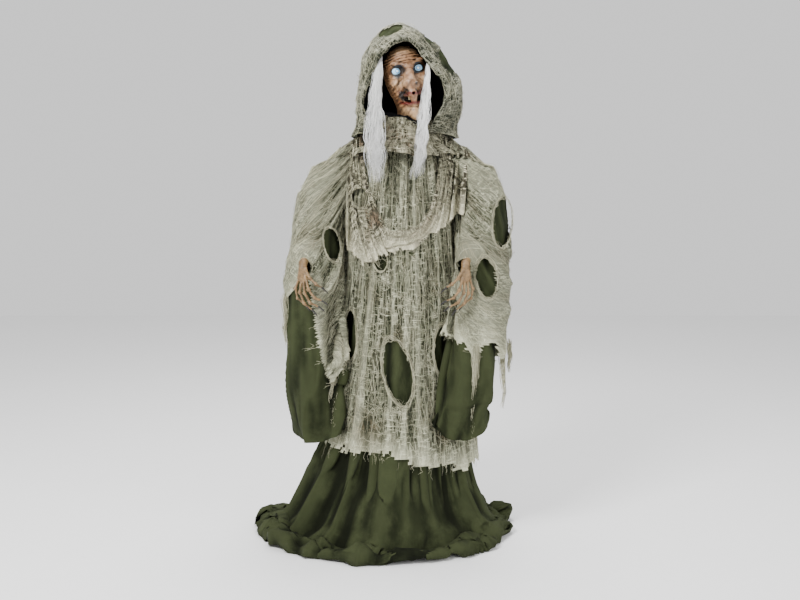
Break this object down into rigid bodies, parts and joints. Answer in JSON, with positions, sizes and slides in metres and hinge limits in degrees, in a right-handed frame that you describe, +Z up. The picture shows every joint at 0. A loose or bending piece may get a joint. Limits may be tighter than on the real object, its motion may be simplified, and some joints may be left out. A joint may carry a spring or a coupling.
{
  "type": "animated witch figure",
  "caption": "Standing witch figure on a steel stand with a turning hooded head, lifting arms, clawed hands and layered ragged gauze over a green robe.",
  "frame": {"origin": "on the floor on the pole's axis, at the underside of the base mat and the train's hem", "axes": "+Z up the pole; +X to the figure's left, which is the viewer's right; the figure faces -Y"},
  "size_m": [0.8999, 0.7899, 1.75],
  "materials": {
    "mat_rubber": "matt rubber",
    "stand_steel": "satin black paint",
    "zinc_fasteners": "zinc plated",
    "bright_steel": "turned steel",
    "knob_plastic": "moulded black",
    "housing_plastic": "fine textured black",
    "speaker_black": "black frame and paper cone",
    "board_green": "solder mask",
    "cell_wrap": "plain wrapped cells",
    "gear_nylon": "moulded nylon",
    "bush_bronze": "sintered bronze",
    "chest_plastic": "blow moulded black",
    "robe_linen": "olive green linen weave",
    "gauze": "open woven grey and cream gauze",
    "black_cloth": "black lining cloth",
    "mask_latex": "painted latex, brown and tan",
    "eye_dome": "pale blue lit dome",
    "lamp_lens": "clear lamp body",
    "tooth_enamel": "stained yellow",
    "hair_fibre": "straight white grey fibre",
    "hand_skin": "painted brown",
    "claw_black": "black gloss"
  },
  "bodies": {
    "stand": {"base_mat": "mat_rubber", "base_plate": "stand_steel", "pole_socket": "stand_steel", "lower_pole": "stand_steel", "upper_pole": "stand_steel", "pole_coupler": "stand_steel", "pole_thumbscrews": "knob_plastic", "socket_bolts": "zinc_fasteners", "control_box": "housing_plastic", "speaker_cover": "housing_plastic", "speaker": "speaker_black", "circuit_board": "board_green", "battery_cells": "cell_wrap", "shoulder_tee": "stand_steel", "tee_bolts": "zinc_fasteners", "shoulder_bar": "stand_steel", "neck_post": "stand_steel", "neck_plate": "stand_steel", "neck_bush": "bush_bronze", "neck_motor": "bright_steel", "chest_shell_front": "chest_plastic", "chest_shell_back": "chest_plastic", "chest_rib": "chest_plastic", "machine_screws": "zinc_fasteners", "skirt_hoop": "stand_steel", "robe": "robe_linen", "gauze_tunic": "gauze", "gauze_cowl": "gauze", "neck_cover": "black_cloth", "shoulder_pins": "bright_steel", "wing_nuts": "zinc_fasteners"},
    "head": {"neck_shaft": "bright_steel", "neck_gear": "gear_nylon", "face_mask": "mask_latex", "skull_back": "chest_plastic", "eyes": "eye_dome", "eye_lamps": "lamp_lens", "teeth": "tooth_enamel", "head_mount": "knob_plastic", "hair": "hair_fibre", "gauze_hood": "gauze", "hood_lining": "black_cloth"},
    "neck_pinion": {"neck_pinion": "gear_nylon"},
    "battery_door": {"battery_door": "housing_plastic"},
    "mode_switch": {"mode_switch": "knob_plastic"},
    "right_arm": {"right_arm_hub": "stand_steel", "right_arm_tubes": "stand_steel", "right_elbow": "stand_steel", "right_robe_sleeve": "robe_linen", "right_gauze_sleeve": "gauze"},
    "right_hand": {"right_hand": "hand_skin", "right_claws": "claw_black"},
    "left_arm": {"left_arm_hub": "stand_steel", "left_arm_tubes": "stand_steel", "left_elbow": "stand_steel", "left_robe_sleeve": "robe_linen", "left_gauze_sleeve": "gauze"},
    "left_hand": {"left_hand": "hand_skin", "left_claws": "claw_black"}
  },
  "joints": [
    {"name": "head_turn", "type": "hinge", "parent": "stand", "child": "head", "pos_m": [0, 0, 1.4], "axis": [0, 0, 1], "range_deg": [-25, 25]},
    {"name": "pinion_spin", "type": "hinge", "parent": "stand", "child": "neck_pinion", "pos_m": [0, 0.03395, 1.36], "axis": [0, 0, 1], "range_deg": [-50, 50]},
    {"name": "right_arm_swing", "type": "hinge", "parent": "stand", "child": "right_arm", "pos_m": [-0.218, 0, 1.262], "axis": [-1, 0, 0], "range_deg": [0, 15]},
    {"name": "right_wrist_turn", "type": "hinge", "parent": "right_arm", "child": "right_hand", "pos_m": [-0.327, -0.225, 0.955], "axis": [-0.1134, -0.9663, -0.2311], "range_deg": [-30, 30]},
    {"name": "left_arm_swing", "type": "hinge", "parent": "stand", "child": "left_arm", "pos_m": [0.218, 0, 1.262], "axis": [-1, 0, 0], "range_deg": [0, 15]},
    {"name": "left_wrist_turn", "type": "hinge", "parent": "left_arm", "child": "left_hand", "pos_m": [0.204, -0.225, 0.955], "axis": [-0.3761, -0.9012, -0.2155], "range_deg": [-30, 30]},
    {"name": "door_hinge", "type": "hinge", "parent": "stand", "child": "battery_door", "pos_m": [0, 0.0722, 0.6874], "axis": [-1, 0, 0], "range_deg": [0, 100]},
    {"name": "mode_slide", "type": "slide", "parent": "stand", "child": "mode_switch", "axis": [0, 0, 1], "range_m": [-0.004, 0.004]}
  ],
  "couplings": [
    {"joint": "pinion_spin", "follows": "head_turn", "ratio": -2}
  ]
}
